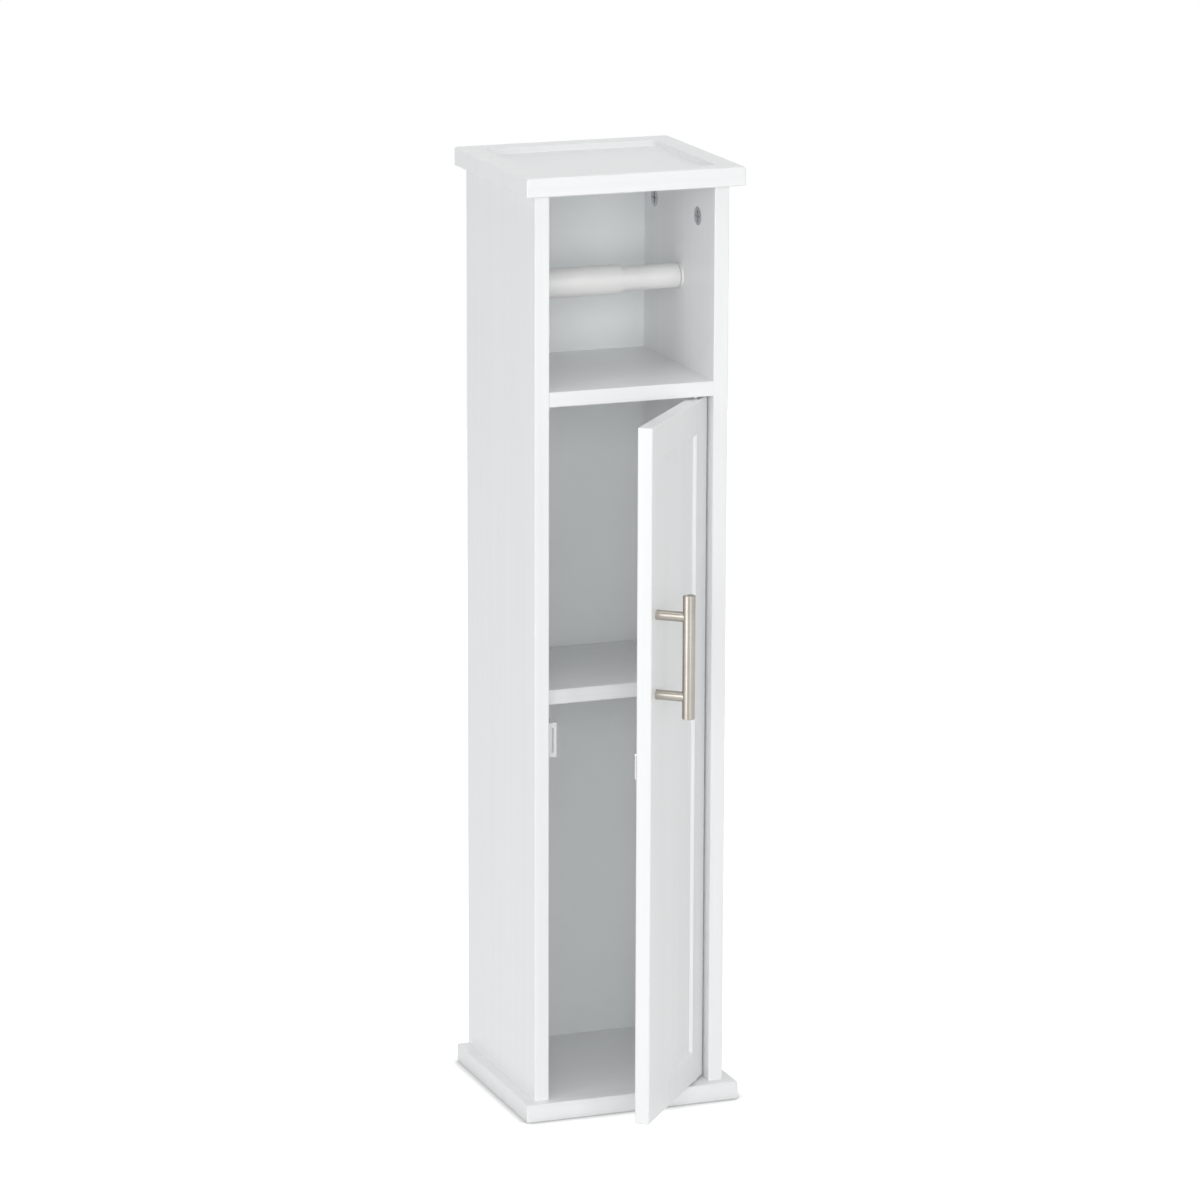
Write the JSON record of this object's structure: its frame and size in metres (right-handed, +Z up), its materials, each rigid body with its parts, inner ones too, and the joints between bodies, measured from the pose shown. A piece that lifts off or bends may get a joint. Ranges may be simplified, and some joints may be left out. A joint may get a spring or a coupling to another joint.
{
  "type": "freestanding toilet roll holder",
  "caption": "Slim freestanding white cabinet with an open compartment and sprung spindle for a toilet roll above a pivoting door.",
  "frame": {"origin": "centre of the base board's underside, on the floor", "axes": "+Z up, -Y the front, +X the side on which the door pivots"},
  "size_m": [0.182, 0.2667, 0.766],
  "materials": {
    "lacquered_board": "white satin lacquer on fibreboard",
    "back_board": "white faced hardboard",
    "satin_nickel": "satin brushed nickel",
    "zinc_casting": "bright tumbled zinc",
    "zinc_plated_steel": "zinc plated",
    "beech": "plain beech",
    "nylon": "natural nylon",
    "white_plastic": "moulded white plastic",
    "ferrite": "dark ferrite magnet",
    "spring_steel": "bright spring wire"
  },
  "bodies": {
    "cabinet": {"base_board": "lacquered_board", "top_board": "lacquered_board", "left_side_panel": "lacquered_board", "right_side_panel": "lacquered_board", "back_panel": "back_board", "roll_shelf": "lacquered_board", "middle_shelf": "lacquered_board", "shelf_pins": "zinc_plated_steel", "top_cam_nuts": "zinc_casting", "top_cam_bolts": "zinc_plated_steel", "shelf_cam_nuts": "zinc_casting", "shelf_cam_bolts": "zinc_plated_steel", "top_dowels": "beech", "base_dowels": "beech", "shelf_dowels": "beech", "base_screws": "zinc_plated_steel", "lower_hinge_bush": "nylon", "upper_hinge_bush": "nylon", "left_spindle_socket": "white_plastic", "right_spindle_socket": "white_plastic", "catch_body": "white_plastic", "catch_magnet": "ferrite", "catch_poles": "zinc_plated_steel", "catch_screws": "zinc_plated_steel"},
    "door": {"door_panel": "lacquered_board", "upper_hinge_pin": "zinc_plated_steel", "lower_hinge_pin": "zinc_plated_steel", "handle_bar": "satin_nickel", "handle_posts": "satin_nickel", "handle_screws": "zinc_plated_steel", "strike_plate": "zinc_plated_steel", "strike_screw": "zinc_plated_steel"},
    "spindle_sleeve": {"spindle_sleeve": "white_plastic", "spindle_spring": "spring_steel"},
    "spindle_plunger": {"spindle_plunger": "white_plastic"}
  },
  "joints": [
    {"name": "door_pivot", "type": "hinge", "parent": "cabinet", "child": "door", "pos_m": [0.056, -0.07, 0.299], "axis": [0, 0, 1], "range_deg": [-50.2, 69.8]},
    {"name": "spindle_spin", "type": "hinge", "parent": "cabinet", "child": "spindle_sleeve", "pos_m": [0, 0, 0.667], "axis": [1, 0, 0], "continuous": true},
    {"name": "plunger_press", "type": "slide", "parent": "spindle_sleeve", "child": "spindle_plunger", "axis": [-1, 0, 0], "range_m": [0, 0.009], "stiffness_N_per_m": 400, "deforming": ["spindle_spring"]}
  ]
}
